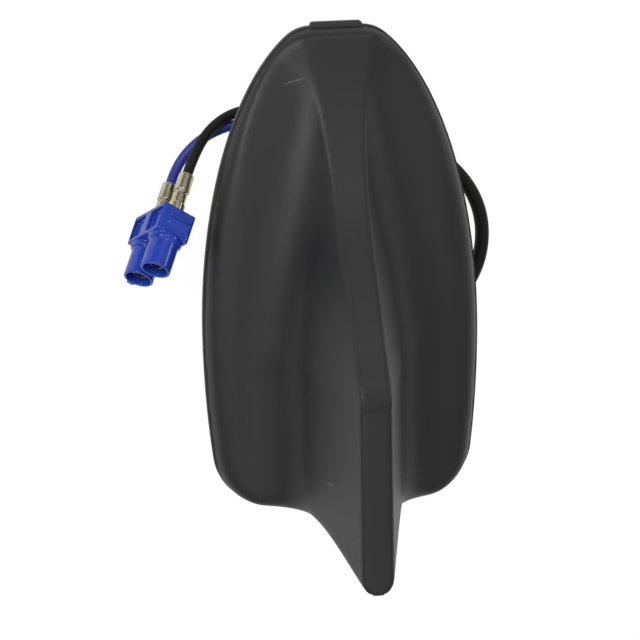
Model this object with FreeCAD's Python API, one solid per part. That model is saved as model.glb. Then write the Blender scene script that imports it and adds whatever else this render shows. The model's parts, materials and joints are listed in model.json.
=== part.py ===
import FreeCAD, Part
import math
import os

from FreeCAD import Matrix, Vector

# Shark-fin roof antenna: a moulded cover on a die-cast base, aerial boards inside it
# and a short pigtail that ends in a twin coaxial connector.
# Frame: +Y to the nose, +X to the right, +Z up. The origin is where the fixing bolt's
# axis meets the roof, which the gasket's underside lies on. Lengths are millimetres.

# Cover
COVER_HALF_WIDTH = 40.2
NOSE_LENGTH = 87.5          # widest station to the nose
NOSE_CUT = 3.3              # straight nose to the tip of the ellipse that the sides follow
NOSE_AXIS = NOSE_LENGTH + NOSE_CUT
NOSE_CORNER = 11.0
TAIL_LENGTH = 50.5          # widest station to the rear edge
TAIL_AXIS = 111.0           # half axis of the ellipse that the sides follow to the tail
TAIL_CORNER = 15.5
LEAST_CORNER = 1.0
NOSE_TO_BOLT = 79.0
RIDGE_HEIGHT = 57.0
RIDGE_HALF_WIDTH = 4.3
FIN_OVERHANG = 13.0         # fin tip behind the rear edge
SWEEP_START = 17.0          # height at which the trailing edge leaves the vertical
WALL = 2.2
SKIRT_DRAFT = math.radians(17)
# Facets of the rounded shoulder: height at which each starts, lean from the vertical
SHOULDER = [(4.4, math.radians(33)), (6.2, math.radians(54)), (7.5, math.radians(71))]
SHOULDER_TOP = 10.6         # above the highest point of the shoulder
BRIM_HEIGHT = 8.6
FLUTE_RADIUS = 17.0
FLUTE_SHARE = 0.85          # the most of the spine's side that a flute takes
TAIL_LEAN = 0.38            # backward lean of the trailing edge at the ridge
SWEEP_HOLD = 0.35           # share of the sweep that each end's direction holds
TRAIL_ROUND = 3.8           # rounding of the fin's trailing edges

# Roof side
GASKET_THICKNESS = 2.0
GASKET_LIP = 0.3
TAB_HALF_WIDTH = 7.4        # the gasket's finger tab at the nose
TAB_REACH = 1.1
TAB_CORNER = 1.0
GROOVE_WIDTH = 1.6
GROOVE_STEP = 4.8           # from the edge to the first groove, and on to the next
GROOVE_DEPTH = 0.7
BASE_THICKNESS = 3.0
FIT = 0.25                  # between the base and the skirt
STEM_DEPTH = 16.0           # the stem that passes through the roof
STEM_HALF_WIDTH = 9.0
STEM_FRONT = 9.0
STEM_REAR = 18.0
STEM_CORNER = 3.0
BOLT_HOLE_RADIUS = 2.5
BOLT_HOLE_DEPTH = 13.0
PEG_RADIUS = 2.5
PEG_LENGTH = 4.0
PEG_Y = 30.0                # locating peg in front of the bolt
OPENING_GAP = 1.5           # round the stem and the peg, in the gasket

# Cable exit, through the stem's right face
PORT_Y = -11.5
PORT_Z = -9.0
PORT_RADIUS = 4.0
PASSAGE_HALF_LENGTH = 3.4
PASSAGE_HALF_WIDTH = 3.4
GROMMET_FLANGE_RADIUS = 5.2
GROMMET_FLANGE = 1.2
GROMMET_NECK = 3.4          # strain relief beyond the flange
GROMMET_GRIP = 3.5          # length inside the port
GROMMET_NECK_WALL = 0.6     # at the strain relief's end
SLIP = 0.05                 # round fits that slide together

# Boards
STANDOFF = 1.2
BOARD_THICKNESS = 1.6
BOARD_HALF_WIDTH = 16.0
BOARD_NECK_HALF_WIDTH = 10.5
BOARD_FRONT = 33.5
BOARD_STEP = 13.0
BOARD_MARGIN = 7.0          # from the rear edge
STANDOFF_RADIUS = 2.6
BOARD_SCREW_X = 13.0
BOARD_SCREW_FRONT = 10.3
BOARD_SCREW_EDGE = 4.0      # from the board's rear end
FIN_BOARD_THICKNESS = 1.0
FIN_BOARD_MARGIN = 4.0      # from the cover's outer surface
FIN_BOARD_LEAD = 5.0        # past its rail
HOLDER_HALF_WIDTH = 3.6
HOLDER_HEIGHT = 6.5
HOLDER_FLOOR = 1.0
HOLDER_EDGE = 2.0           # from the board's rear end
FOAM_HALF_WIDTH = 1.4
FOAM_GAP = 0.25

# Aerial patches and shield
NAV_PATCH = 18.0
NAV_PATCH_Y = 22.4
RADIO_PATCH = 25.0
RADIO_PATCH_Y = -4.6
PATCH_HEIGHT = 4.0
PATCH_CORNER = 1.0
PAD_HEIGHT = 0.6
PAD_MARGIN = 1.0
CAN_WIDTH = 9.0
CAN_GAP = 5.0               # to the screws behind it
CAN_HEIGHT = 2.6
CAN_WALL = 0.3
CAN_X = 9.2
PATCH_GAP = 6.0             # from the radio patch to the pieces behind it

# Screws
COVER_SCREW_RADIUS = 1.2
COVER_SCREW_HEAD_RADIUS = 2.4
COVER_SCREW_HEAD = 1.5
COVER_SCREW_LENGTH = 6.0
POST_RADIUS = 3.2
FRONT_POST = (14.5, 26.0)
REAR_POST_X = 20.0
REAR_POST_EDGE = 13.0       # from the rear edge
BOARD_SCREW_RADIUS = 1.0
BOARD_SCREW_HEAD_RADIUS = 2.0
BOARD_SCREW_HEAD = 1.2
BOARD_SCREW_LENGTH = 4.4
DRIVE_RADIUS = 0.8

# Pigtail
BUNDLE_DIAMETER = 4.1
CABLE_DIAMETER = 3.0
LEAD_DIAMETER = 1.8
LEAD_SPACING = 2.0
LEAD_BEND = 4.0
LEAD_X = -1.6
SPLITTER_X = (0.5, -13.0)
SPLITTER_Y = 51.6
SPLITTER_Z = -14.0
SPLITTER_NECK_RADIUS = 2.6
SPLITTER_HEIGHT = 4.0
CABLE_SPACING = 4.0
BUNDLE_START = 7.5
RUN_SHARE = 0.45            # share of the shorter run that a bend takes
BLACK_LEADS = (7.6, 7.4)    # straight lengths at the splitter and at the ferrule
BLUE_LEADS = (7.8, 4.9)
BLACK, BLUE = -1, 1         # which side of the pair each line is on

# Twin connector, in its own frame: x to the mouths, y across the pair, z across the body
BODY_LENGTH = 8.5
BODY_HALF_WIDTH = 9.0
BODY_HALF_DEPTH = 5.3
BODY_EDGE = 1.1
BARREL_PITCH = 9.7
BARREL_RADIUS = 4.3
BARREL_WALL = 0.75
BARREL_LENGTH = 10.2
COLLAR_RADIUS = 4.9
COLLAR_LENGTH = 1.5
KEY_WIDTH = 2.2
KEY_HEIGHT = 1.0
KEY_LENGTH = 3.0
WINDOW_LENGTH = 6.4
WINDOW_WIDTH = 6.6
WINDOW_DEPTH = 1.3
WINDOW_EDGE = 1.0
RAMP_RADIUS = 2.4           # half-round latch ramp across the end face
RAMP_HEIGHT = 0.8
RAMP_FROM = -2.6
LOCK_LENGTH = 3.4
LOCK_WIDTH = 13.0
LOCK_DEPTH = 1.4
SHELL_RADIUS = 2.0
SHELL_WALL = 0.35
SHELL_LENGTH = 17.0
INSULATOR_LENGTH = 13.0
PIN_RADIUS = 0.45
PIN_LENGTH = 15.5
FERRULE_LENGTH = 12.5
FERRULE_COLLAR = 3.0
FERRULE_COLLAR_RADIUS = 2.4
FERRULE_RADIUS = 2.0
FERRULE_CRIMP = 5.4         # flared sleeve over the cable's end
FERRULE_CRIMP_RADIUS = 2.25
FERRULE_WAIST = 0.9
FERRULE_WAIST_RADIUS = 1.7

# Where the connector lies: the middle of its back face, and its own axes
CONNECTOR_BACK = Vector(-49.35, 25.65, 0.0)
CONNECTOR_AXIS = Vector(-0.3762, -0.7320, 0.5681)
CONNECTOR_ACROSS = Vector(-0.4076, -0.4199, -0.8109)

# The spine's line over the nose: distance behind the nose, height
SPINE = [(-14, 0.5), (0, 5.2), (20, 9.9), (46, 22.4), (70, 40.4), (84, 50.4), (91, 55.4), (98, RIDGE_HEIGHT)]
# Half width of the spine's top, and steepness of its sides
SPINE_HALF_WIDTH = [
    (-14, 14.0), (0, 11.0), (22, 6.4), (34, 5.3), (46, 4.7), (70, 4.4), (98, RIDGE_HALF_WIDTH)]
SIDE_STEEPNESS = [(-14, 0.32), (0, 0.36), (12, 0.46), (22, 0.8), (34, 1.35), (46, 1.9), (70, 2.8), (98, 3.8)]
# The brim that the flutes run out to: height on the axis, fall towards the sides
BRIM_LINE = [(-14, 0.2), (0, 4.6), (10, 7.0), (20, 8.6), (40, 9.8), (70, 9.4), (98, BRIM_HEIGHT)]
BRIM_FALL = [(-14, 0.20), (0, 0.17), (20, 0.11), (46, 0.05), (70, 0.02), (98, 0.0)]
FRONT_STATIONS = 10

# Route of the taped bundle from the stem round the right side to the splitter
BUNDLE_ROUTE = [
    (BUNDLE_START, PORT_Y, PORT_Z), (16.4, -11.5, -9.0), (25.4, -11.3, -11.2), (33.4, -8.2, -13.3),
    (39.7, -2.7, -14.0), (43.7, 4.7, -14.0), (45.2, 13.0, -14.0), (44.2, 21.2, -14.0),
    (40.6, 28.8, -14.0), (34.8, 35.2, -14.0), (27.6, 41.4, -14.0), (19.2, 47.6, -14.0),
    (9.9, SPLITTER_Y, SPLITTER_Z), (SPLITTER_X[0], SPLITTER_Y, SPLITTER_Z),
]
# Bends of the two cables between the splitter and the connector
BLACK_BENDS = [(-28.4, 52.4, -13.6), (-35.0, 48.4, -11.2)]
BLUE_BENDS = [(-28.9, 48.9, -14.3), (-36.4, 45.7, -14.4), (-41.6, 41.1, -14.4)]

NOSE_Y = NOSE_TO_BOLT
COVER_BOTTOM = GASKET_THICKNESS
BASE_TOP = GASKET_THICKNESS + BASE_THICKNESS
BOARD_BOTTOM = BASE_TOP + STANDOFF
BOARD_TOP = BOARD_BOTTOM + BOARD_THICKNESS
REAR_Y = NOSE_Y - NOSE_LENGTH - TAIL_LENGTH
BOARD_REAR = REAR_Y + BOARD_MARGIN
BOARD_SCREW_REAR = BOARD_REAR + BOARD_SCREW_EDGE
HOLDER_REAR = BOARD_REAR + HOLDER_EDGE
HOLDER_FRONT = RADIO_PATCH_Y - RADIO_PATCH / 2 - PATCH_GAP
FIN_BOARD_FRONT = HOLDER_FRONT + FIN_BOARD_LEAD
UP = Vector(0, 0, 1)
FAR = 100.0                 # past every face that a cut goes through
CLEAR = 20.0                # outside the outline, for shapes that trim it
TOLERANCE = 1e-3
HALVINGS = 60               # of the angle at which a corner's arc meets a side


def along(points, place):
    """Smooth value at a place on a line through a few points."""
    last = len(points) - 1

    def slope(k):
        a, b = max(k - 1, 0), min(k + 1, last)
        return (points[b][1] - points[a][1]) / (points[b][0] - points[a][0])

    k = 0
    while k < last - 1 and place > points[k + 1][0]:
        k += 1
    (start, low), (end, high) = points[k], points[k + 1]
    span = end - start
    t = (place - start) / span
    return ((2 * t**3 - 3 * t**2 + 1) * low + (t**3 - 2 * t**2 + t) * span * slope(k)
            + (3 * t**2 - 2 * t**3) * high + (t**3 - t**2) * span * slope(k + 1))


def mirrored(point):
    return Vector(-point.x, point.y, point.z)


def line(a, b):
    return Part.LineSegment(a, b).toShape()


def cylinder(radius, start, end):
    return Part.makeCylinder(radius, (end - start).Length, start, end - start)


def block(x, y, z):
    """Box from three (low, high) pairs."""
    return Part.makeBox(x[1] - x[0], y[1] - y[0], z[1] - z[0], Vector(x[0], y[0], z[0]))


def turned(profile):
    """Solid of revolution about local x from (x, radius) points."""
    points = [Vector(x, r, 0) for x, r in profile]
    return Part.Face(Part.makePolygon(points + points[:1])).revolve(Vector(), Vector(1, 0, 0), 360)


def outline(inset, z, tail_inset=None):
    """Plan outline of the cover, moved in: half-ellipse sides, straight nose and tail, round corners."""
    middle = Vector(0, NOSE_Y - NOSE_LENGTH, z)
    half = COVER_HALF_WIDTH - inset
    side = middle + Vector(half, 0, 0)

    def ellipse_arc(tip, a, b):
        ellipse = Part.Ellipse(tip, side, middle)
        start, end = ellipse.parameter(a), ellipse.parameter(b)
        if (end - start) % (2 * math.pi) > math.pi:
            start, end = end, start
        return Part.ArcOfEllipse(ellipse, start, start + (end - start) % (2 * math.pi)).toShape()

    def end(way, axis, reach, corner):
        """Edges from the right side round one end to the left side."""
        radius = max(corner - inset, LEAST_CORNER)
        low, high = 0.0, math.pi / 2
        for _ in range(HALVINGS):
            angle = (low + high) / 2
            touch = middle + Vector(half * math.sin(angle), way * axis * math.cos(angle), 0)
            inward = Vector(-math.sin(angle) / half, -way * math.cos(angle) / axis, 0).normalize()
            centre = touch + inward * radius
            if way * (centre - middle).y > reach - radius:
                low = angle
            else:
                high = angle
        foot = Vector(centre.x, middle.y + way * reach, z)
        bend = centre + ((touch - centre) + (foot - centre)).normalize() * radius
        tip = middle + Vector(0, way * axis, 0)
        return [ellipse_arc(tip, side, touch), Part.Arc(touch, bend, foot).toShape(),
                line(foot, mirrored(foot)),
                Part.Arc(mirrored(foot), mirrored(bend), mirrored(touch)).toShape(),
                ellipse_arc(tip, mirrored(touch), mirrored(side))]

    tail = TAIL_LENGTH - (inset if tail_inset is None else tail_inset)
    nose_edges = end(1, NOSE_AXIS - inset, NOSE_LENGTH - inset, NOSE_CORNER)
    tail_edges = end(-1, TAIL_AXIS - inset, tail, TAIL_CORNER)
    return Part.Wire(nose_edges + tail_edges[::-1])


def plate(inset, low, high):
    """Flat plate with the cover's outline."""
    return Part.Face(outline(inset, low)).extrude(UP * (high - low))


def ring(inset, width, low, high):
    """Flat band that follows the cover's outline, centred on an inset."""
    return plate(inset - width / 2, low, high).cut(plate(inset + width / 2, low, high))


def skirt_inset(z):
    """How far the skirt has leaned in at a height."""
    return z * math.tan(SKIRT_DRAFT)


def side_lines(wall):
    """Inset at roof level and slope of the skirt and of each shoulder facet, moved in by a wall."""
    inset, height, lean = 0.0, 0.0, SKIRT_DRAFT
    lines = [(wall / math.cos(lean), math.tan(lean))]
    for start, next_lean in SHOULDER:
        inset += (start - height) * math.tan(lean)
        height, lean = start, next_lean
        lines.append((inset - height * math.tan(lean) + wall / math.cos(lean), math.tan(lean)))
    return lines


def sides(wall):
    """Block with the cover's outline that leans in as the skirt and then facet by facet as the shoulder."""
    lines = side_lines(wall)
    meets = [(a - c) / (d - b) for (a, b), (c, d) in zip(lines, lines[1:])]
    levels = zip(lines + lines[-1:], [0.0] + meets + [SHOULDER_TOP])
    return Part.makeLoft([outline(ground + slope * z, z, wall) for (ground, slope), z in levels], True, True)


def hood_section(station, wall):
    """One cross-section of the hood: brim, flute arc, steep side and flat spine, moved in by a wall."""
    fall, steep = along(BRIM_FALL, station), along(SIDE_STEEPNESS, station)
    brim = along(BRIM_LINE, station) - wall * math.hypot(1, fall)
    crest = along(SPINE, station)
    foot = along(SPINE_HALF_WIDTH, station) + crest / steep - wall * math.hypot(1, steep) / steep
    crest -= wall
    edge = foot - crest / steep
    meet = (steep * foot - brim) / (steep - fall)
    turn = math.atan(steep) - math.atan(fall)
    run = math.hypot(1, steep) * (meet - edge)
    reach = min((FLUTE_RADIUS + wall) * math.tan(turn / 2), FLUTE_SHARE * run)
    y = NOSE_Y - station

    def at(x, z):
        return Vector(x, y, z)

    corner = at(meet, brim - fall * meet)
    out, up = Vector(1, 0, -fall).normalize(), Vector(-1, 0, steep).normalize()
    radius = reach / math.tan(turn / 2)
    start, end = corner + out * reach, corner + up * reach
    middle = corner + (out + up).normalize() * (radius / math.cos(turn / 2) - radius)
    wide = COVER_HALF_WIDTH + CLEAR
    rim, crown, sole = at(wide, brim - fall * wide), at(edge, crest), at(wide, -FAR / 2)
    return Part.Wire([
        line(rim, start), Part.Arc(start, middle, end).toShape(), line(end, crown),
        line(crown, mirrored(crown)), line(mirrored(crown), mirrored(end)),
        Part.Arc(mirrored(end), mirrored(middle), mirrored(start)).toShape(),
        line(mirrored(start), mirrored(rim)), line(mirrored(rim), mirrored(sole)),
        line(mirrored(sole), sole), line(sole, rim),
    ])


def in_front_of_tail(wall, low):
    """Everything above a height and in front of the swept trailing edge."""
    high = RIDGE_HEIGHT + CLEAR
    foot = Vector(0, REAR_Y + wall, SWEEP_START)
    tip = Vector(0, REAR_Y - FIN_OVERHANG + wall, RIDGE_HEIGHT)
    rise = RIDGE_HEIGHT - SWEEP_START
    lean = Vector(0, -TAIL_LEAN, 1)
    sweep = Part.BezierCurve()
    sweep.setPoles([foot, foot + UP * (SWEEP_HOLD * rise), tip - lean * (SWEEP_HOLD * rise), tip])
    past = tip + lean * (high - RIDGE_HEIGHT)
    below, front = Vector(0, REAR_Y + wall, low), NOSE_Y + CLEAR
    wire = Part.Wire([
        line(below, foot), sweep.toShape(), line(tip, past), line(past, Vector(0, front, high)),
        line(Vector(0, front, high), Vector(0, front, low)), line(Vector(0, front, low), below),
    ])
    region = Part.Face(wire).extrude(Vector(FAR, 0, 0))
    region.translate(Vector(-FAR / 2, 0, 0))
    return region


def trailing_edges(form):
    """Edges of the fin, flutes and brim where they end at the back."""
    boxes = [(e, e.BoundBox) for e in form.Edges]
    at_back = [(e, box) for e, box in boxes if box.YMax < REAR_Y + FIT and box.ZMin > BRIM_HEIGHT - FIT]
    return [e for e, box in at_back if box.XMin > 0 or box.XMax < 0]


def hood(wall, low):
    """The solid under the fin, spine, flutes and shoulder: the cover's outside, or its cavity."""
    first, last = SPINE[0][0], SPINE[-1][0]
    step = (last - first) / FRONT_STATIONS
    sections = [hood_section(first + step * k, wall) for k in range(FRONT_STATIONS + 1)]
    form = Part.makeLoft(sections, True, False).fuse(Part.Face(sections[-1]).extrude(Vector(0, -FAR, 0)))
    form = form.common(in_front_of_tail(wall, low)).removeSplitter()
    if wall == 0:
        form = form.makeFillet(TRAIL_ROUND, trailing_edges(form))
    above = block((-FAR, FAR), (-FAR, FAR), (SHOULDER_TOP, FAR))
    return form.common(sides(wall).fuse(above)).removeSplitter()


def posts():
    """The four screw places, front pair and rear pair."""
    return [(side * x, y) for x, y in (FRONT_POST, (REAR_POST_X, REAR_Y + REAR_POST_EDGE))
            for side in (1, -1)]


def cover():
    """Hollow moulding with four screw posts."""
    inside = hood(WALL, 0)
    shell = hood(0, COVER_BOTTOM).cut(inside)
    for x, y in posts():
        post = cylinder(POST_RADIUS, Vector(x, y, BASE_TOP), Vector(x, y, RIDGE_HEIGHT))
        shell = shell.fuse(post.common(inside))
    for x, y in posts():
        depth = COVER_BOTTOM + COVER_SCREW_HEAD + COVER_SCREW_LENGTH
        shell = shell.cut(cylinder(COVER_SCREW_RADIUS + SLIP, Vector(x, y, 0), Vector(x, y, depth)))
    return shell.removeSplitter()


def stem_outline(gap, z):
    """Rounded rectangle round the stem."""
    x, front, rear = STEM_HALF_WIDTH + gap, STEM_FRONT + gap, STEM_REAR + gap
    blank = block((-x, x), (-rear, front), (z, z + STEM_CORNER))
    upright = [e for e in blank.Edges if e.BoundBox.ZLength > STEM_CORNER / 2]
    rounded = blank.makeFillet(STEM_CORNER + gap, upright)
    return Part.Face([f for f in rounded.Faces if f.BoundBox.ZMax < z + SLIP][0].OuterWire)


def roof_gasket():
    """Rubber pad under the base, with a lip round the skirt and two sealing grooves below."""
    edge = skirt_inset(COVER_BOTTOM) - GASKET_LIP
    tip = NOSE_Y - edge + TAB_REACH
    tab = block((-TAB_HALF_WIDTH, TAB_HALF_WIDTH), (PEG_Y, tip), (0, GASKET_THICKNESS))
    upright = [e for e in tab.Edges if e.BoundBox.ZLength > GASKET_THICKNESS / 2]
    tab = tab.makeFillet(TAB_CORNER, [e for e in upright if e.BoundBox.YMin > PEG_Y])
    pad = plate(edge, 0, GASKET_THICKNESS).fuse(tab).removeSplitter()
    pad = pad.cut(stem_outline(OPENING_GAP, -CLEAR).extrude(UP * FAR))
    pad = pad.cut(cylinder(PEG_RADIUS + OPENING_GAP, Vector(0, PEG_Y, -CLEAR), Vector(0, PEG_Y, FAR)))
    for k in (1, 2):
        pad = pad.cut(ring(edge + k * GROOVE_STEP, GROOVE_WIDTH, 0, GROOVE_DEPTH))
    return pad


def base_plate():
    """Die-cast base: plate inside the skirt, standoffs, locating peg and the bolt and cable stem."""
    base = hood(WALL + FIT, COVER_BOTTOM).common(block((-FAR, FAR), (-FAR, FAR), (COVER_BOTTOM, BASE_TOP)))
    base = base.fuse(stem_outline(0, -STEM_DEPTH).extrude(UP * (STEM_DEPTH + BASE_TOP)))
    base = base.fuse(cylinder(PEG_RADIUS, Vector(0, PEG_Y, -PEG_LENGTH), Vector(0, PEG_Y, BASE_TOP)))
    for x, y in board_screw_places():
        base = base.fuse(cylinder(STANDOFF_RADIUS, Vector(x, y, COVER_BOTTOM), Vector(x, y, BOARD_BOTTOM)))
    for x, y in posts():
        base = base.cut(cylinder(COVER_SCREW_RADIUS + SLIP, Vector(x, y, 0), Vector(x, y, FAR)))
        seat = COVER_BOTTOM + COVER_SCREW_HEAD
        base = base.cut(cylinder(COVER_SCREW_HEAD_RADIUS + SLIP, Vector(x, y, 0), Vector(x, y, seat)))
    for x, y in board_screw_places():
        tip = BOARD_TOP - BOARD_SCREW_LENGTH
        base = base.cut(cylinder(BOARD_SCREW_RADIUS + SLIP, Vector(x, y, tip), Vector(x, y, FAR)))
    bolt_end = Vector(0, 0, BOLT_HOLE_DEPTH - STEM_DEPTH)
    base = base.cut(cylinder(BOLT_HOLE_RADIUS, Vector(0, 0, -FAR), bolt_end))
    passage = block((-PASSAGE_HALF_WIDTH, PASSAGE_HALF_WIDTH),
                    (PORT_Y - PASSAGE_HALF_LENGTH, PORT_Y + PASSAGE_HALF_LENGTH), (PORT_Z - PORT_RADIUS, FAR))
    port = cylinder(PORT_RADIUS, Vector(0, PORT_Y, PORT_Z), Vector(FAR, PORT_Y, PORT_Z))
    return base.cut(passage).cut(port).removeSplitter()


def board_screw_places():
    return [(side * BOARD_SCREW_X, y) for y in (BOARD_SCREW_FRONT, BOARD_SCREW_REAR) for side in (1, -1)]


def main_board():
    """Circuit board with a narrow front part."""
    board = block((-BOARD_HALF_WIDTH, BOARD_HALF_WIDTH), (BOARD_REAR, BOARD_STEP), (BOARD_BOTTOM, BOARD_TOP))
    neck = block((-BOARD_NECK_HALF_WIDTH, BOARD_NECK_HALF_WIDTH), (BOARD_STEP, BOARD_FRONT),
                 (BOARD_BOTTOM, BOARD_TOP))
    board = board.fuse(neck).removeSplitter()
    for x, y in board_screw_places():
        board = board.cut(cylinder(BOARD_SCREW_RADIUS + SLIP, Vector(x, y, 0), Vector(x, y, FAR)))
    return board


def patch(size, y):
    """Ceramic patch aerial: a square tile with rounded corners."""
    base = BOARD_TOP + PAD_HEIGHT
    half = size / 2
    tile = block((-half, half), (y - half, y + half), (base, base + PATCH_HEIGHT))
    rim = [e for e in tile.Edges if e.BoundBox.ZLength > PATCH_HEIGHT / 2]
    return tile.makeFillet(PATCH_CORNER, rim)


def patch_pads():
    """Adhesive pads under both patches."""
    pads = []
    for size, y in ((NAV_PATCH, NAV_PATCH_Y), (RADIO_PATCH, RADIO_PATCH_Y)):
        half = size / 2 - PAD_MARGIN
        pads.append(block((-half, half), (y - half, y + half), (BOARD_TOP, BOARD_TOP + PAD_HEIGHT)))
    return Part.makeCompound(pads)


def shield_can():
    """Folded tin can over the amplifier, open below."""
    half = CAN_WIDTH / 2
    can = block((CAN_X - half, CAN_X + half), (BOARD_SCREW_REAR + CAN_GAP, HOLDER_FRONT),
                (BOARD_TOP, BOARD_TOP + CAN_HEIGHT))
    underside = [f for f in can.Faces if f.BoundBox.ZMax < BOARD_TOP + SLIP]
    return can.makeThickness(underside, -CAN_WALL, TOLERANCE)


def fin_board():
    """Upright phone aerial board that follows the fin's inside."""
    half = FIN_BOARD_THICKNESS / 2
    sheet = block((-half, half), (-FAR, FIN_BOARD_FRONT), (BOARD_TOP + HOLDER_FLOOR, FAR))
    return hood(FIN_BOARD_MARGIN, 0).common(sheet).Solids[0]


def fin_holder():
    """Plastic rail on the main board that grips the upright board."""
    rail = block((-HOLDER_HALF_WIDTH, HOLDER_HALF_WIDTH), (HOLDER_REAR, HOLDER_FRONT),
                 (BOARD_TOP, BOARD_TOP + HOLDER_HEIGHT))
    slot = FIN_BOARD_THICKNESS / 2 + SLIP
    return rail.cut(block((-slot, slot), (-FAR, FAR), (BOARD_TOP + HOLDER_FLOOR, FAR)))


def foam_strip():
    """Foam that keeps the upright board from rattling under the ridge."""
    top = RIDGE_HEIGHT - WALL - FOAM_GAP
    y = (REAR_Y - FIN_OVERHANG / 2, NOSE_Y - SPINE[-1][0] - FIN_BOARD_MARGIN)
    return block((-FOAM_HALF_WIDTH, FOAM_HALF_WIDTH), y, (RIDGE_HEIGHT - FIN_BOARD_MARGIN, top))


def screw(x, y, seat, direction, radius, length, head_radius, head):
    """Pan-head screw: shank from the seat along a direction, head with a hexagonal drive behind it."""
    start = Vector(x, y, seat)
    end, back = start + direction * length, start - direction * head
    drive = Part.Face(Part.makePolygon([
        back + Vector(DRIVE_RADIUS * math.cos(k * math.pi / 3), DRIVE_RADIUS * math.sin(k * math.pi / 3), 0)
        for k in range(7)])).extrude(direction * (head / 2))
    return cylinder(radius, start, end).fuse(cylinder(head_radius, back, start)).cut(drive).removeSplitter()


def cover_screws():
    seat = COVER_BOTTOM + COVER_SCREW_HEAD
    return Part.makeCompound([
        screw(x, y, seat, UP, COVER_SCREW_RADIUS, COVER_SCREW_LENGTH, COVER_SCREW_HEAD_RADIUS,
              COVER_SCREW_HEAD)
        for x, y in posts()])


def board_screws():
    return Part.makeCompound([
        screw(x, y, BOARD_TOP, -UP, BOARD_SCREW_RADIUS, BOARD_SCREW_LENGTH, BOARD_SCREW_HEAD_RADIUS,
              BOARD_SCREW_HEAD)
        for x, y in board_screw_places()])


def tube(points, diameter, name):
    """Round cord along straight runs joined by the largest tangent arcs that the runs allow."""
    edges, start, length = [], points[0], 0.0
    radii = []
    for before, corner, after in zip(points, points[1:], points[2:]):
        back, on = (before - corner).normalize(), (after - corner).normalize()
        half_turn = (math.pi - back.getAngle(on)) / 2
        reach = RUN_SHARE * min((before - corner).Length, (after - corner).Length)
        radius = reach / math.tan(half_turn)
        inner = (back + on).normalize() * (radius / math.cos(half_turn) - radius)
        a, b = corner + back * reach, corner + on * reach
        edges += [line(start, a), Part.Arc(a, corner + inner, b).toShape()]
        length += (a - start).Length + radius * 2 * half_turn
        start = b
        radii.append(round(radius, 1))
    edges.append(line(start, points[-1]))
    length += (points[-1] - start).Length
    rim = Part.Circle(points[0], points[1] - points[0], diameter / 2).toShape()
    solid = Part.Wire(edges).makePipe(Part.Face(Part.Wire([rim])))
    ratio = solid.Volume / (math.pi * diameter**2 / 4 * length)
    print(name, "length", round(length, 1), "radii", radii,
          "volume against section times length", round(ratio, 5))
    return solid


def inner_leads():
    """The two coaxial cores from the main board down the stem to the grommet."""
    leads = []
    for side in (1, -1):
        y = PORT_Y + side * LEAD_SPACING / 2
        top, turn = Vector(LEAD_X, y, BOARD_BOTTOM), Vector(LEAD_X, y, PORT_Z + LEAD_BEND)
        level = Vector(LEAD_X + LEAD_BEND, y, PORT_Z)
        bend = Vector(LEAD_X + LEAD_BEND, y, PORT_Z + LEAD_BEND) + Vector(-1, 0, -1).normalize() * LEAD_BEND
        path = Part.Wire([line(top, turn), Part.Arc(turn, bend, level).toShape(),
                          line(level, Vector(BUNDLE_START, y, PORT_Z))])
        rim = Part.Circle(top, UP, LEAD_DIAMETER / 2).toShape()
        leads.append(path.makePipe(Part.Face(Part.Wire([rim]))))
    return Part.makeCompound(leads)


def cable_grommet():
    """Rubber bush in the stem's port, with a tapered strain relief."""
    face = STEM_HALF_WIDTH
    inner, flange = face - GROMMET_GRIP, face + GROMMET_FLANGE
    end = flange + GROMMET_NECK
    bore, grip = BUNDLE_DIAMETER / 2 + SLIP, PORT_RADIUS - SLIP
    bush = turned([
        (inner, bore), (inner, grip), (face, grip), (face, GROMMET_FLANGE_RADIUS),
        (flange, GROMMET_FLANGE_RADIUS), (flange, grip), (end, bore + GROMMET_NECK_WALL), (end, bore)])
    bush.translate(Vector(0, PORT_Y, PORT_Z))
    return bush


def cable_splitter():
    """Moulded boot where the bundle divides into its black and blue cables."""
    right, left = SPLITTER_X
    half = SPLITTER_HEIGHT / 2

    def oval(x, spread, radius):
        a, b = Vector(x, SPLITTER_Y + spread, SPLITTER_Z), Vector(x, SPLITTER_Y - spread, SPLITTER_Z)
        up = UP * radius
        return Part.Wire([
            line(a + up, b + up), Part.Arc(b + up, b - Vector(0, radius, 0), b - up).toShape(),
            line(b - up, a - up), Part.Arc(a - up, a + Vector(0, radius, 0), a + up).toShape()])

    neck = SPLITTER_NECK_RADIUS - half
    return Part.makeLoft([oval(right, neck, half), oval(left, CABLE_SPACING / 2, half)], True, True)


def connector_axes():
    """Unit vectors along the connector, across its pair and through its body."""
    a = Vector(CONNECTOR_AXIS).normalize()
    w = (CONNECTOR_ACROSS - a * CONNECTOR_ACROSS.dot(a)).normalize()
    return a, w, a.cross(w)


def placed(shape):
    """Move a connector piece from its own frame to where the connector lies."""
    a, w, n = connector_axes()
    c = CONNECTOR_BACK
    frame = Matrix(a.x, w.x, n.x, c.x, a.y, w.y, n.y, c.y, a.z, w.z, n.z, c.z, 0, 0, 0, 1)
    shape.transformShape(frame, True)
    return shape


def connector_point(x, y):
    """A point on the connector's middle plane, in the antenna's frame."""
    along_pair, across_pair = connector_axes()[:2]
    return CONNECTOR_BACK + along_pair * x + across_pair * y


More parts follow.
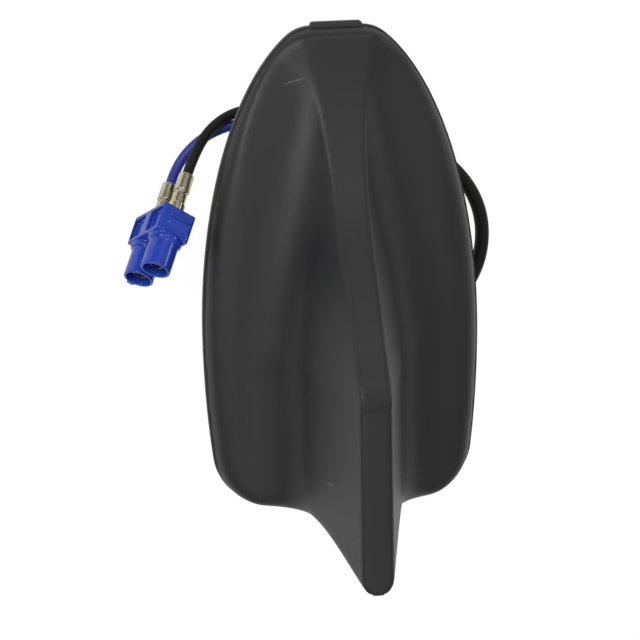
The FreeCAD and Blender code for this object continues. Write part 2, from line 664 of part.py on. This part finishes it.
def connector_housing():
    """Twin housing: rounded body with windows, collars, two barrels, a key and a latch ramp."""
    body = block((0, BODY_LENGTH), (-BODY_HALF_WIDTH, BODY_HALF_WIDTH), (-BODY_HALF_DEPTH, BODY_HALF_DEPTH))
    body = body.makeFillet(BODY_EDGE, [e for e in body.Edges if e.BoundBox.XLength > BODY_LENGTH / 2])
    mouth = BODY_LENGTH + BARREL_LENGTH
    floor = BODY_LENGTH + COLLAR_LENGTH
    for side in (-1, 1):
        y = side * BARREL_PITCH / 2
        root, step, tip = [Vector(x, y, 0) for x in (BODY_LENGTH, floor, mouth)]
        body = body.fuse(cylinder(COLLAR_RADIUS, root, step)).fuse(cylinder(BARREL_RADIUS, root, tip))
    line_y = BLUE * BARREL_PITCH / 2
    key = block((mouth - KEY_LENGTH, mouth), (line_y, line_y + BARREL_RADIUS + KEY_HEIGHT),
                (-KEY_WIDTH / 2, KEY_WIDTH / 2))
    body = body.fuse(key)
    ramp = Vector(BODY_LENGTH / 2, RAMP_RADIUS - RAMP_HEIGHT - BODY_HALF_WIDTH, RAMP_FROM)
    body = body.fuse(cylinder(RAMP_RADIUS, ramp, Vector(ramp.x, ramp.y, BODY_HALF_DEPTH - BODY_EDGE)))
    for side in (-1, 1):
        y = side * BARREL_PITCH / 2
        body = body.cut(cylinder(BARREL_RADIUS - BARREL_WALL, Vector(floor, y, 0), Vector(FAR, y, 0)))
        body = body.cut(cylinder(SHELL_RADIUS + SLIP, Vector(-CLEAR, y, 0), Vector(FAR, y, 0)))
        window = block((BODY_LENGTH - WINDOW_EDGE - WINDOW_LENGTH, BODY_LENGTH - WINDOW_EDGE),
                       (y - WINDOW_WIDTH / 2, y + WINDOW_WIDTH / 2), (-FAR, WINDOW_DEPTH - BODY_HALF_DEPTH))
        body = body.cut(window)
    return body.cut(lock_blank(SLIP)).removeSplitter()


def lock_blank(gap):
    """The lock's plate, or with a gap its pocket."""
    middle = BODY_LENGTH / 2
    length, width = LOCK_LENGTH / 2 + gap, LOCK_WIDTH / 2 + gap
    return block((middle - length, middle + length), (-width, width),
                 (BODY_HALF_DEPTH - LOCK_DEPTH, BODY_HALF_DEPTH))


def contact(side):
    """Outer sleeve, insulator and pin of one coaxial line."""
    inner = SHELL_RADIUS - SHELL_WALL
    pieces = [
        turned([(0, inner), (0, SHELL_RADIUS), (SHELL_LENGTH, SHELL_RADIUS), (SHELL_LENGTH, inner)]),
        turned([(0, PIN_RADIUS), (0, inner), (INSULATOR_LENGTH, inner), (INSULATOR_LENGTH, PIN_RADIUS)]),
        turned([(0, 0), (0, PIN_RADIUS), (PIN_LENGTH - PIN_RADIUS, PIN_RADIUS), (PIN_LENGTH, 0)]),
    ]
    for piece in pieces:
        piece.translate(Vector(0, side * BARREL_PITCH / 2, 0))
    return pieces


def ferrule(side):
    """Stepped crimp ferrule behind the housing: flared crimp, waist, body and collar."""
    end, collar = -FERRULE_LENGTH, -FERRULE_COLLAR
    waist = end + FERRULE_CRIMP
    body = waist + FERRULE_WAIST
    piece = turned([
        (end, 0), (end, FERRULE_CRIMP_RADIUS), (waist, FERRULE_CRIMP_RADIUS), (waist, FERRULE_WAIST_RADIUS),
        (body, FERRULE_WAIST_RADIUS), (body, FERRULE_RADIUS), (collar, FERRULE_RADIUS),
        (collar, FERRULE_COLLAR_RADIUS), (0, FERRULE_COLLAR_RADIUS), (0, 0)])
    piece.translate(Vector(0, side * BARREL_PITCH / 2, 0))
    return piece


def cable_route(side, leads, bends):
    """Route from the splitter to a ferrule, straight at both ends and through chosen bends."""
    y = SPLITTER_Y - side * CABLE_SPACING / 2
    across = side * BARREL_PITCH / 2
    start, end = [SPLITTER_X[1], SPLITTER_X[1] - leads[0]], [-FERRULE_LENGTH - leads[1], -FERRULE_LENGTH]
    return ([Vector(x, y, SPLITTER_Z) for x in start] + [Vector(*b) for b in bends]
            + [connector_point(x, across) for x in end])


def nodes():
    """Every piece by its name."""
    pieces = {
        "cover": cover(),
        "roof_gasket": roof_gasket(),
        "base_plate": base_plate(),
        "main_board": main_board(),
        "shield_can": shield_can(),
        "navigation_patch": patch(NAV_PATCH, NAV_PATCH_Y),
        "radio_patch": patch(RADIO_PATCH, RADIO_PATCH_Y),
        "patch_pads": patch_pads(),
        "fin_board": fin_board(),
        "fin_holder": fin_holder(),
        "foam_strip": foam_strip(),
        "cover_screws": cover_screws(),
        "board_screws": board_screws(),
        "cable_grommet": cable_grommet(),
        "inner_leads": inner_leads(),
        "cable_bundle": tube([Vector(*p) for p in BUNDLE_ROUTE], BUNDLE_DIAMETER, "cable_bundle"),
        "cable_splitter": cable_splitter(),
        "black_cable": tube(cable_route(BLACK, BLACK_LEADS, BLACK_BENDS), CABLE_DIAMETER, "black_cable"),
        "blue_cable": tube(cable_route(BLUE, BLUE_LEADS, BLUE_BENDS), CABLE_DIAMETER, "blue_cable"),
        "connector_housing": placed(connector_housing()),
        "connector_lock": placed(lock_blank(0)),
    }
    for colour, side in (("black", BLACK), ("blue", BLUE)):
        sleeve, insulator, pin = contact(side)
        pieces[colour + "_ferrule"] = placed(ferrule(side))
        pieces[colour + "_contact_sleeve"] = placed(sleeve)
        pieces[colour + "_insulator"] = placed(insulator)
        pieces[colour + "_pin"] = placed(pin)
    return pieces


os.makedirs("parts", exist_ok=True)
for name, shape in nodes().items():
    shape.exportStep(os.path.join("parts", name + ".step"))
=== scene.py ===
import json
import math

import bpy
from mathutils import Matrix, Vector


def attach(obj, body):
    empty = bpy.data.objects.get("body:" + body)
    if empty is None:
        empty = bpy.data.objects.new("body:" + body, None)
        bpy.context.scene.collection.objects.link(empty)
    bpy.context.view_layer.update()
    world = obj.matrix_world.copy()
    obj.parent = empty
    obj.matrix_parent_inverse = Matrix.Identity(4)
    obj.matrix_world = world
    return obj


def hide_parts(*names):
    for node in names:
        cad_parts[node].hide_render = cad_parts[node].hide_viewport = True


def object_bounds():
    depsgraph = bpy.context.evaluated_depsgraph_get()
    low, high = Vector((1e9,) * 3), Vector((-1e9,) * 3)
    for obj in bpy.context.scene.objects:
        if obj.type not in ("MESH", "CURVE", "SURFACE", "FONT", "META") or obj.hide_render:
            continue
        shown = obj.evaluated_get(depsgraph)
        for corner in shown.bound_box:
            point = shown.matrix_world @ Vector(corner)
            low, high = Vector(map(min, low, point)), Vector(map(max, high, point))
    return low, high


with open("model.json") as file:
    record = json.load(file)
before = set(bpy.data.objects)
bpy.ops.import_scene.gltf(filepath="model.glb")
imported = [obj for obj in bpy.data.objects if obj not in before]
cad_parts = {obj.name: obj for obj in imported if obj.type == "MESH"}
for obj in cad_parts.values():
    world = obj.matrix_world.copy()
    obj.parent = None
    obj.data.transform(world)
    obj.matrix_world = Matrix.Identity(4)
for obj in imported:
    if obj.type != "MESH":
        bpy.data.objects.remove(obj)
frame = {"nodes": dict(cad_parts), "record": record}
cad_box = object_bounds()
nodes = frame["nodes"]
scene = bpy.context.scene
MM = 0.001

# Camera: above the nose, a little to the left, looking down on the fin
CAMERA_TILT = math.radians(13.4)
CAMERA_SIDE = math.radians(9.3)
CAMERA_ROLL = math.radians(-1.0)
CAMERA_DISTANCE = 900 * MM
CAMERA_TARGET = Vector((-5.749, -6.333, 0.0)) * MM
CAMERA_NEAR = 10 * MM
LENS = 176.6
SENSOR = 36.0

# Cords, in millimetres, as the solids have them
BUNDLE_DIAMETER = 4.1
BUNDLE_ROUTE = [
    (7.5, -11.5, -9.0), (16.4, -11.5, -9.0), (25.4, -11.3, -11.2), (33.4, -8.2, -13.3),
    (39.7, -2.7, -14.0), (43.7, 4.7, -14.0), (45.2, 13.0, -14.0), (44.2, 21.2, -14.0),
    (40.6, 28.8, -14.0), (34.8, 35.2, -14.0), (27.6, 41.4, -14.0), (19.2, 47.6, -14.0),
    (9.9, 51.6, -14.0), (0.5, 51.6, -14.0),
]
CABLE_DIAMETER = 3.0
BLACK_ROUTE = [
    (-13.0, 53.6, -14.0), (-20.6, 53.6, -14.0), (-28.4, 52.4, -13.6), (-35.0, 48.4, -11.2),
    (-39.89, 42.25, -7.37), (-42.67, 36.84, -3.17),
]
BLUE_ROUTE = [
    (-13.0, 49.6, -14.0), (-20.8, 49.6, -14.0), (-28.9, 48.9, -14.3), (-36.4, 45.7, -14.4),
    (-41.6, 41.1, -14.4), (-44.78, 36.35, -13.82), (-46.62, 32.76, -11.03),
]
CORD_STEPS = 10
CORD_ROUNDNESS = 6

# Rounding of the cover, in millimetres: mesh size, and where each round starts and is full
COVER_VOXEL = 0.68
RIM_ROUNDS = 2
SPINE_ROUNDS = 6
SHOULDER_ROUNDS = 31
OVER_RIM = (2.3, 3.2)
ABOVE_RIM = (2.4, 3.6)
BELOW_FIN = (24.0, 18.0)
BESIDE_SPINE = (9.0, 14.0)
ON_NOSE = (56.0, 66.0)

# Rounding of the connector and its ferrules
HOUSING_VOXEL = 0.24
HOUSING_ROUNDS = 3
FERRULE_VOXEL = 0.15
FERRULE_ROUNDS = 3

# Strength of one round, and the edges that stay sharp on the other solids
SOFTEN_FACTOR = 0.5
SHARP_ANGLE = math.radians(35)

# Noise values that nearly all lie between, and the patches' size in grains
NOISE_RANGE = (0.3, 0.7)
PATCH_GRAINS = 8
RELIEF_STRENGTH = 0.6

# Painted shade in hollows: openness at which a hollow is painted dark and at which it has its colour, and
# the share of colour left in the painted shade
PAINTED_SHADE_RANGE = (0.3, 0.8)
PAINTED_SHADE_SHARE = 0.25

# Light of the surroundings
HORIZON_LIGHT = 0.12
ZENITH_LIGHT = 0.66

# Floor: half its width, its gap to the object in millimetres, and how bright it looks
FLOOR_HALF = 2.0
FLOOR_GAP = 0.05
FLOOR_GREY = 0.8
FLOOR_ROUGHNESS = 0.9
FLOOR_SEEN = 1.03
FLOOR_MIRRORED = 0.92
FLOOR_GLOW = 0.95


def metres(point):
    return Vector(point) * MM


def make_camera():
    """Camera at the photograph's place, for a square picture."""
    tilt, side = CAMERA_TILT, CAMERA_SIDE
    back = Vector((-math.cos(tilt) * math.sin(side), math.sin(tilt), math.cos(tilt) * math.cos(side)))
    level = Vector((math.cos(side), 0, math.sin(side)))
    upright = back.cross(level)
    right = level * math.cos(CAMERA_ROLL) + upright * math.sin(CAMERA_ROLL)
    up = upright * math.cos(CAMERA_ROLL) - level * math.sin(CAMERA_ROLL)
    data = bpy.data.cameras.new("camera")
    data.lens = LENS
    data.sensor_width = SENSOR
    data.sensor_fit = "HORIZONTAL"
    data.clip_start = CAMERA_NEAR
    camera = bpy.data.objects.new("camera", data)
    place = CAMERA_TARGET + back * CAMERA_DISTANCE
    camera.matrix_world = Matrix.Translation(place) @ Matrix((right, up, back)).transposed().to_4x4()
    scene.collection.objects.link(camera)
    scene.camera = camera


def cord_curve(name, route, diameter):
    """Smooth round cord with the route's points as its control points."""
    data = bpy.data.curves.new(name, "CURVE")
    data.dimensions = "3D"
    data.bevel_depth = diameter / 2 * MM
    data.bevel_resolution = CORD_ROUNDNESS
    data.resolution_u = CORD_STEPS
    data.use_fill_caps = True
    spline = data.splines.new("NURBS")
    spline.points.add(len(route) - 1)
    for control, point in zip(spline.points, route):
        control.co = (*metres(point), 1.0)
    spline.order_u = 3
    spline.use_endpoint_u = True
    curve = bpy.data.objects.new(name, data)
    scene.collection.objects.link(curve)
    return curve


class Shader:
    """Short way to build one procedural material."""

    def __init__(self, name):
        self.material = bpy.data.materials.new(name)
        self.material.use_nodes = True
        self.tree = self.material.node_tree
        self.shader = self.tree.nodes["Principled BSDF"]
        self.place = self.node("ShaderNodeTexCoord").outputs["Object"]

    def node(self, kind, **settings):
        node = self.tree.nodes.new(kind)
        for key, value in settings.items():
            setattr(node, key, value)
        return node

    def link(self, source, target):
        """Join a socket to another, or set it to a constant."""
        if isinstance(source, (int, float, tuple)):
            target.default_value = source
        else:
            self.tree.links.new(source, target)

    def set(self, **sockets):
        """Give the surface shader its values."""
        for key, value in sockets.items():
            self.link(value, self.shader.inputs[key.replace("_", " ")])

    def noise(self, size, detail):
        """Noise with features of about a size in millimetres."""
        node = self.node("ShaderNodeTexNoise")
        self.link(self.place, node.inputs["Vector"])
        node.inputs["Scale"].default_value = 1 / (size * MM)
        node.inputs["Detail"].default_value = detail
        return node.outputs["Fac"]

    def ramp(self, source, low, high, start, end):
        """Map a range of values to another, clamped."""
        node = self.node("ShaderNodeMapRange")
        self.link(source, node.inputs["Value"])
        for key, value in (("From Min", low), ("From Max", high), ("To Min", start), ("To Max", end)):
            node.inputs[key].default_value = value
        return node.outputs["Result"]

    def spread(self, noise, start, end):
        """Map a noise's values to a range."""
        return self.ramp(noise, *NOISE_RANGE, start, end)

    def math(self, operation, a, b=0.0):
        node = self.node("ShaderNodeMath", operation=operation)
        self.link(a, node.inputs[0])
        self.link(b, node.inputs[1])
        return node.outputs[0]

    def blend(self, share, a, b):
        """Colour between two colours."""
        node = self.node("ShaderNodeMix", data_type="RGBA")
        self.link(share, node.inputs["Factor"])
        self.link(a, node.inputs["A"])
        self.link(b, node.inputs["B"])
        return node.outputs["Result"]

    def mix(self, share, a, b):
        """Surface between two surfaces."""
        node = self.node("ShaderNodeMixShader")
        for source, target in zip((share, a, b), node.inputs):
            self.link(source, target)
        return node.outputs[0]

    def bump(self, height, depth, strength):
        """Relief of a depth in millimetres."""
        node = self.node("ShaderNodeBump")
        node.inputs["Strength"].default_value = strength
        node.inputs["Distance"].default_value = depth * MM
        self.link(height, node.inputs["Height"])
        self.link(node.outputs["Normal"], self.shader.inputs["Normal"])


def grey(value):
    return (value, value, value, 1.0)


# Cover's plastic: colours, roughness, and the sizes of its clouds, grain and relief in millimetres
COVER_DARK = grey(0.0125)
COVER_LIGHT = grey(0.0155)
COVER_ROUGHNESS = (0.44, 0.54)
COVER_CLOUD = 22
COVER_GRAIN = 0.35
COVER_RELIEF = 0.02
COVER_RELIEF_STRENGTH = 0.5

# Marks on the cover in plan: middle, turn in degrees, half length, half width, colour
COVER_MARKS = [
    ((-13.0, 64.1), 16, 3.4, 0.24, grey(0.08)),
    ((-6.9, 72.3), 0, 0.6, 0.6, grey(0.004)),
    ((-9.6, -44.6), 50, 0.9, 0.5, grey(0.05)),
]


def streak(s, middle, turn, half_length, half_width):
    """Mask of a short straight mark on the upper surface, given in plan in millimetres."""
    mapping = s.node("ShaderNodeMapping", vector_type="TEXTURE")
    s.link(s.place, mapping.inputs["Vector"])
    mapping.inputs["Location"].default_value = (middle[0] * MM, middle[1] * MM, 0)
    mapping.inputs["Rotation"].default_value = (0, 0, math.radians(turn))
    local = s.node("ShaderNodeSeparateXYZ")
    s.link(mapping.outputs[0], local.inputs[0])
    run = s.ramp(s.math("ABSOLUTE", local.outputs["X"]), half_length * MM / 2, half_length * MM, 1, 0)
    breadth = s.ramp(s.math("ABSOLUTE", local.outputs["Y"]), half_width * MM / 2, half_width * MM, 1, 0)
    return s.math("MULTIPLY", run, breadth)


def cover_plastic():
    """Matte moulded plastic with a fine spark grain and a few marks of handling."""
    s = Shader("cover_plastic")
    cloud = s.noise(COVER_CLOUD, 2)
    grain = s.noise(COVER_GRAIN, 2)
    colour = s.blend(s.spread(cloud, 0, 1), COVER_DARK, COVER_LIGHT)
    for middle, turn, half_length, half_width, tone in COVER_MARKS:
        colour = s.blend(streak(s, middle, turn, half_length, half_width), colour, tone)
    s.set(Base_Color=colour, Roughness=s.spread(grain, *COVER_ROUGHNESS))
    s.bump(grain, COVER_RELIEF, COVER_RELIEF_STRENGTH)
    return s.material


def plain(name, dark, light, rough, grain, relief, metal=0.0, painted_shade_depth=0.0, shine=0.5):
    """Mottled material, optionally with painted shade darkening its hollows; grain, relief and the depth of
    the painted shade are in millimetres.
    """
    s = Shader(name)
    patches = s.noise(grain * PATCH_GRAINS, 2)
    grains = s.noise(grain, 3)
    colour = s.blend(s.spread(patches, 0, 1), dark, light)
    # Painted shade: the colour fades to a darker copy where the surface is enclosed, in hollows and recesses
    if painted_shade_depth:
        openness = s.node("ShaderNodeAmbientOcclusion")
        openness.inputs["Distance"].default_value = painted_shade_depth * MM
        painted_shade_colour = tuple(c * PAINTED_SHADE_SHARE for c in dark[:3]) + (1.0,)
        colour = s.blend(s.ramp(openness.outputs["AO"], *PAINTED_SHADE_RANGE, 0, 1), painted_shade_colour, colour)
    s.set(Base_Color=colour, Metallic=metal, Specular_IOR_Level=shine)
    s.set(Roughness=s.spread(grains, *rough))
    s.bump(grains, relief, RELIEF_STRENGTH)
    return s.material


PLAIN_LOOKS = {
    "gasket_rubber": dict(dark=grey(0.026), light=grey(0.036), rough=(0.5, 0.65), grain=0.5, relief=0.03),
    "die_cast": dict(dark=grey(0.42), light=grey(0.52),
                     rough=(0.38, 0.55), grain=0.6, relief=0.03, metal=1.0),
    "circuit_board": dict(dark=(0.01, 0.10, 0.03, 1), light=(0.02, 0.14, 0.05, 1),
                          rough=(0.3, 0.4), grain=0.8, relief=0.01),
    "tin_plate": dict(dark=grey(0.6), light=grey(0.7), rough=(0.2, 0.35), grain=1.0, relief=0.01, metal=1.0),
    "ceramic": dict(dark=(0.62, 0.55, 0.44, 1), light=(0.7, 0.64, 0.54, 1),
                    rough=(0.45, 0.6), grain=0.3, relief=0.01),
    "foam": dict(dark=grey(0.03), light=grey(0.05), rough=(0.9, 1.0), grain=0.4, relief=0.15),
    "inner_plastic": dict(dark=grey(0.5), light=grey(0.56), rough=(0.4, 0.5), grain=0.4, relief=0.01),
    "screw_steel": dict(dark=grey(0.5), light=grey(0.62),
                        rough=(0.25, 0.4), grain=0.4, relief=0.01, metal=1.0),
    "black_jacket": dict(dark=(0.006, 0.0055, 0.004, 1), light=(0.010, 0.009, 0.007, 1),
                         rough=(0.5, 0.65), grain=0.4, relief=0.04, shine=0.25),
    "blue_jacket": dict(dark=(0.018, 0.032, 0.27, 1), light=(0.026, 0.042, 0.34, 1),
                        rough=(0.4, 0.5), grain=0.4, relief=0.02),
    # Blue plastic and plated crimp get painted shade in their hollows
    "blue_plastic": dict(dark=(0.012, 0.050, 0.42, 1), light=(0.017, 0.064, 0.50, 1),
                         rough=(0.15, 0.21), grain=0.3, relief=0.006, painted_shade_depth=3.0),
    "plated_crimp": dict(dark=(0.46, 0.41, 0.28, 1), light=(0.66, 0.61, 0.44, 1),
                         rough=(0.16, 0.26), grain=0.5, relief=0.006, metal=1.0, painted_shade_depth=1.5),
    "insulator": dict(dark=grey(0.62), light=grey(0.7), rough=(0.35, 0.45), grain=0.4, relief=0.005),
    "contact_brass": dict(dark=(0.72, 0.46, 0.14, 1), light=(0.8, 0.55, 0.2, 1),
                          rough=(0.15, 0.25), grain=0.3, relief=0.004, metal=1.0),
}
MATERIALS = {"cover_plastic": cover_plastic()}
MATERIALS.update((slot, plain(slot, **look)) for slot, look in PLAIN_LOOKS.items())


def dress(piece, slot):
    piece.data.materials.clear()
    piece.data.materials.append(MATERIALS[slot])


def dress_nodes():
    """Give every carried-over solid its procedural material."""
    for part in frame["record"]["subparts"]:
        piece = nodes[part["node"]]
        dress(piece, part["material_slot"])
        piece.data.shade_smooth()
        piece.data.set_sharp_from_angle(angle=SHARP_ANGLE)


def settle(piece):
    """Keep a piece's modifiers as its own mesh."""
    bpy.context.view_layer.update()
    done = bpy.data.meshes.new_from_object(piece.evaluated_get(bpy.context.evaluated_depsgraph_get()))
    piece.modifiers.clear()
    piece.data = done
    piece.data.shade_smooth()


def soften(piece, rounds, group=""):
    """Smooth a piece's mesh, or only a group of its points."""
    modifier = piece.modifiers.new("soften", "SMOOTH")
    modifier.factor = SOFTEN_FACTOR
    modifier.iterations = rounds
    modifier.vertex_group = group


def soft_copy(node, slot, voxel, rounds):
    """Copy of a solid with its creases rounded as a moulding's are, in place of the plain one."""
    piece = bpy.data.objects.new(node + "_skin", nodes[node].data.copy())
    scene.collection.objects.link(piece)
    remesh = piece.modifiers.new("even", "REMESH")
    remesh.mode = "VOXEL"
    remesh.voxel_size = voxel * MM
    soften(piece, rounds)
    settle(piece)
    dress(piece, slot)
    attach(piece, "root")
    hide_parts(node)
    return piece


def fade(value, none, full):
    """Share between 0 and 1 of the way from one value to another."""
    return min(max((value - none) / (full - none), 0.0), 1.0)


def round_off(piece, name, rounds, weight):
    """Round a piece further, by a weight worked out from each point's place in millimetres."""
    group = piece.vertex_groups.new(name=name)
    for vertex in piece.data.vertices:
        group.add([vertex.index], weight(*(vertex.co / MM)), "REPLACE")
    soften(piece, rounds, name)
    settle(piece)


def make_cover():
    """The cover, with a broad round on its shoulder and nose and a small one along the spine."""

    def spine(x, y, z):
        return fade(z, *OVER_RIM)

    def shoulder(x, y, z):
        level = fade(z, *ABOVE_RIM) * fade(z, *BELOW_FIN)
        return level * max(fade(abs(x), *BESIDE_SPINE), fade(y, *ON_NOSE))

    cover = soft_copy("cover", "cover_plastic", COVER_VOXEL, RIM_ROUNDS)
    round_off(cover, "spine", SPINE_ROUNDS, spine)
    round_off(cover, "shoulder", SHOULDER_ROUNDS, shoulder)


def make_cords():
    """The taped bundle and the two cables, in place of their plain tubes, with what they carry."""
    housing = soft_copy("connector_housing", "blue_plastic", HOUSING_VOXEL, HOUSING_ROUNDS)
    for colour in ("black", "blue"):
        ferrule = soft_copy(colour + "_ferrule", "plated_crimp", FERRULE_VOXEL, FERRULE_ROUNDS)
    bundle = cord_curve("cable_bundle_cord", BUNDLE_ROUTE, BUNDLE_DIAMETER)
    black = cord_curve("black_cable_cord", BLACK_ROUTE, CABLE_DIAMETER)
    blue = cord_curve("blue_cable_cord", BLUE_ROUTE, CABLE_DIAMETER)
    cords = (
        (bundle, "cable_bundle", "black_jacket"),
        (black, "black_cable", "black_jacket"),
        (blue, "blue_cable", "blue_jacket"),
    )
    for piece, node, slot in cords:
        dress(piece, slot)
        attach(piece, "root")
        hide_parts(node)


def floor_finish():
    """White where it is seen or mirrored, with a soft shadow, and clear from below."""
    s = Shader("floor")
    s.set(Base_Color=grey(FLOOR_GREY), Roughness=FLOOR_ROUGHNESS)
    path = s.node("ShaderNodeLightPath").outputs
    mirrored = path["Is Glossy Ray"]
    seen = s.math("MAXIMUM", s.math("MAXIMUM", path["Is Camera Ray"], mirrored), path["Is Transmission Ray"])
    glow = s.node("ShaderNodeEmission")
    s.link(s.ramp(mirrored, 0, 1, FLOOR_SEEN, FLOOR_MIRRORED), glow.inputs["Strength"])
    top = s.mix(s.math("MULTIPLY", seen, FLOOR_GLOW), s.shader.outputs[0], glow.outputs[0])
    below = s.node("ShaderNodeNewGeometry").outputs["Backfacing"]
    clear = s.node("ShaderNodeBsdfTransparent").outputs[0]
    s.link(s.mix(below, top, clear), s.tree.nodes["Material Output"].inputs["Surface"])
    return s.material


def make_floor():
    """Pale floor just under the object."""
    z = cad_box[0][2] - FLOOR_GAP * MM
    corners = [(x * FLOOR_HALF, y * FLOOR_HALF, z) for x, y in ((-1, -1), (1, -1), (1, 1), (-1, 1))]
    mesh = bpy.data.meshes.new("floor")
    mesh.from_pydata(corners, [], [(0, 1, 2, 3)])
    mesh.materials.append(floor_finish())
    floor = bpy.data.objects.new("floor", mesh)
    scene.collection.objects.link(floor)


def make_world():
    """White where it is seen; as light, a sky that is dim near the horizon and brighter overhead."""
    world = bpy.data.worlds.new("studio")
    world.use_nodes = True
    scene.world = world
    tree = world.node_tree
    back = tree.nodes["Background"]
    back.inputs["Color"].default_value = grey(1.0)
    parts = tree.nodes.new("ShaderNodeSeparateXYZ")
    tree.links.new(tree.nodes.new("ShaderNodeTexCoord").outputs["Generated"], parts.inputs[0])
    sky = tree.nodes.new("ShaderNodeMapRange")
    sky.inputs["To Min"].default_value = HORIZON_LIGHT
    sky.inputs["To Max"].default_value = ZENITH_LIGHT
    tree.links.new(parts.outputs["Z"], sky.inputs["Value"])
    mix = tree.nodes.new("ShaderNodeMix")
    mix.inputs["B"].default_value = 1.0
    tree.links.new(tree.nodes.new("ShaderNodeLightPath").outputs["Is Camera Ray"], mix.inputs["Factor"])
    tree.links.new(sky.outputs["Result"], mix.inputs["A"])
    tree.links.new(mix.outputs["Result"], back.inputs["Strength"])


def softbox(name, place, size, power):
    """Area light that looks at the object; place and size in metres, power in watts."""
    data = bpy.data.lights.new(name, "AREA")
    data.shape = "RECTANGLE"
    data.size, data.size_y = size
    data.energy = power
    light = bpy.data.objects.new(name, data)
    light.location = place
    light.rotation_euler = (-Vector(place)).to_track_quat("-Z", "Y").to_euler()
    scene.collection.objects.link(light)


make_camera()
make_cords()
make_cover()
dress_nodes()
make_floor()
make_world()
softbox("left_softbox", place=(-0.8, 0.45, 0.85), size=(0.45, 0.45), power=5.6)
softbox("right_strip", place=(1.1, 0.36, 0.28), size=(0.5, 0.12), power=1.2)
softbox("top_softbox", place=(-0.2, -0.3, 1.2), size=(0.6, 0.6), power=0.8)
softbox("front_softbox", place=(0.2, 0.93, 0.78), size=(0.35, 0.2), power=1.3)

scene.view_settings.view_transform = "Standard"
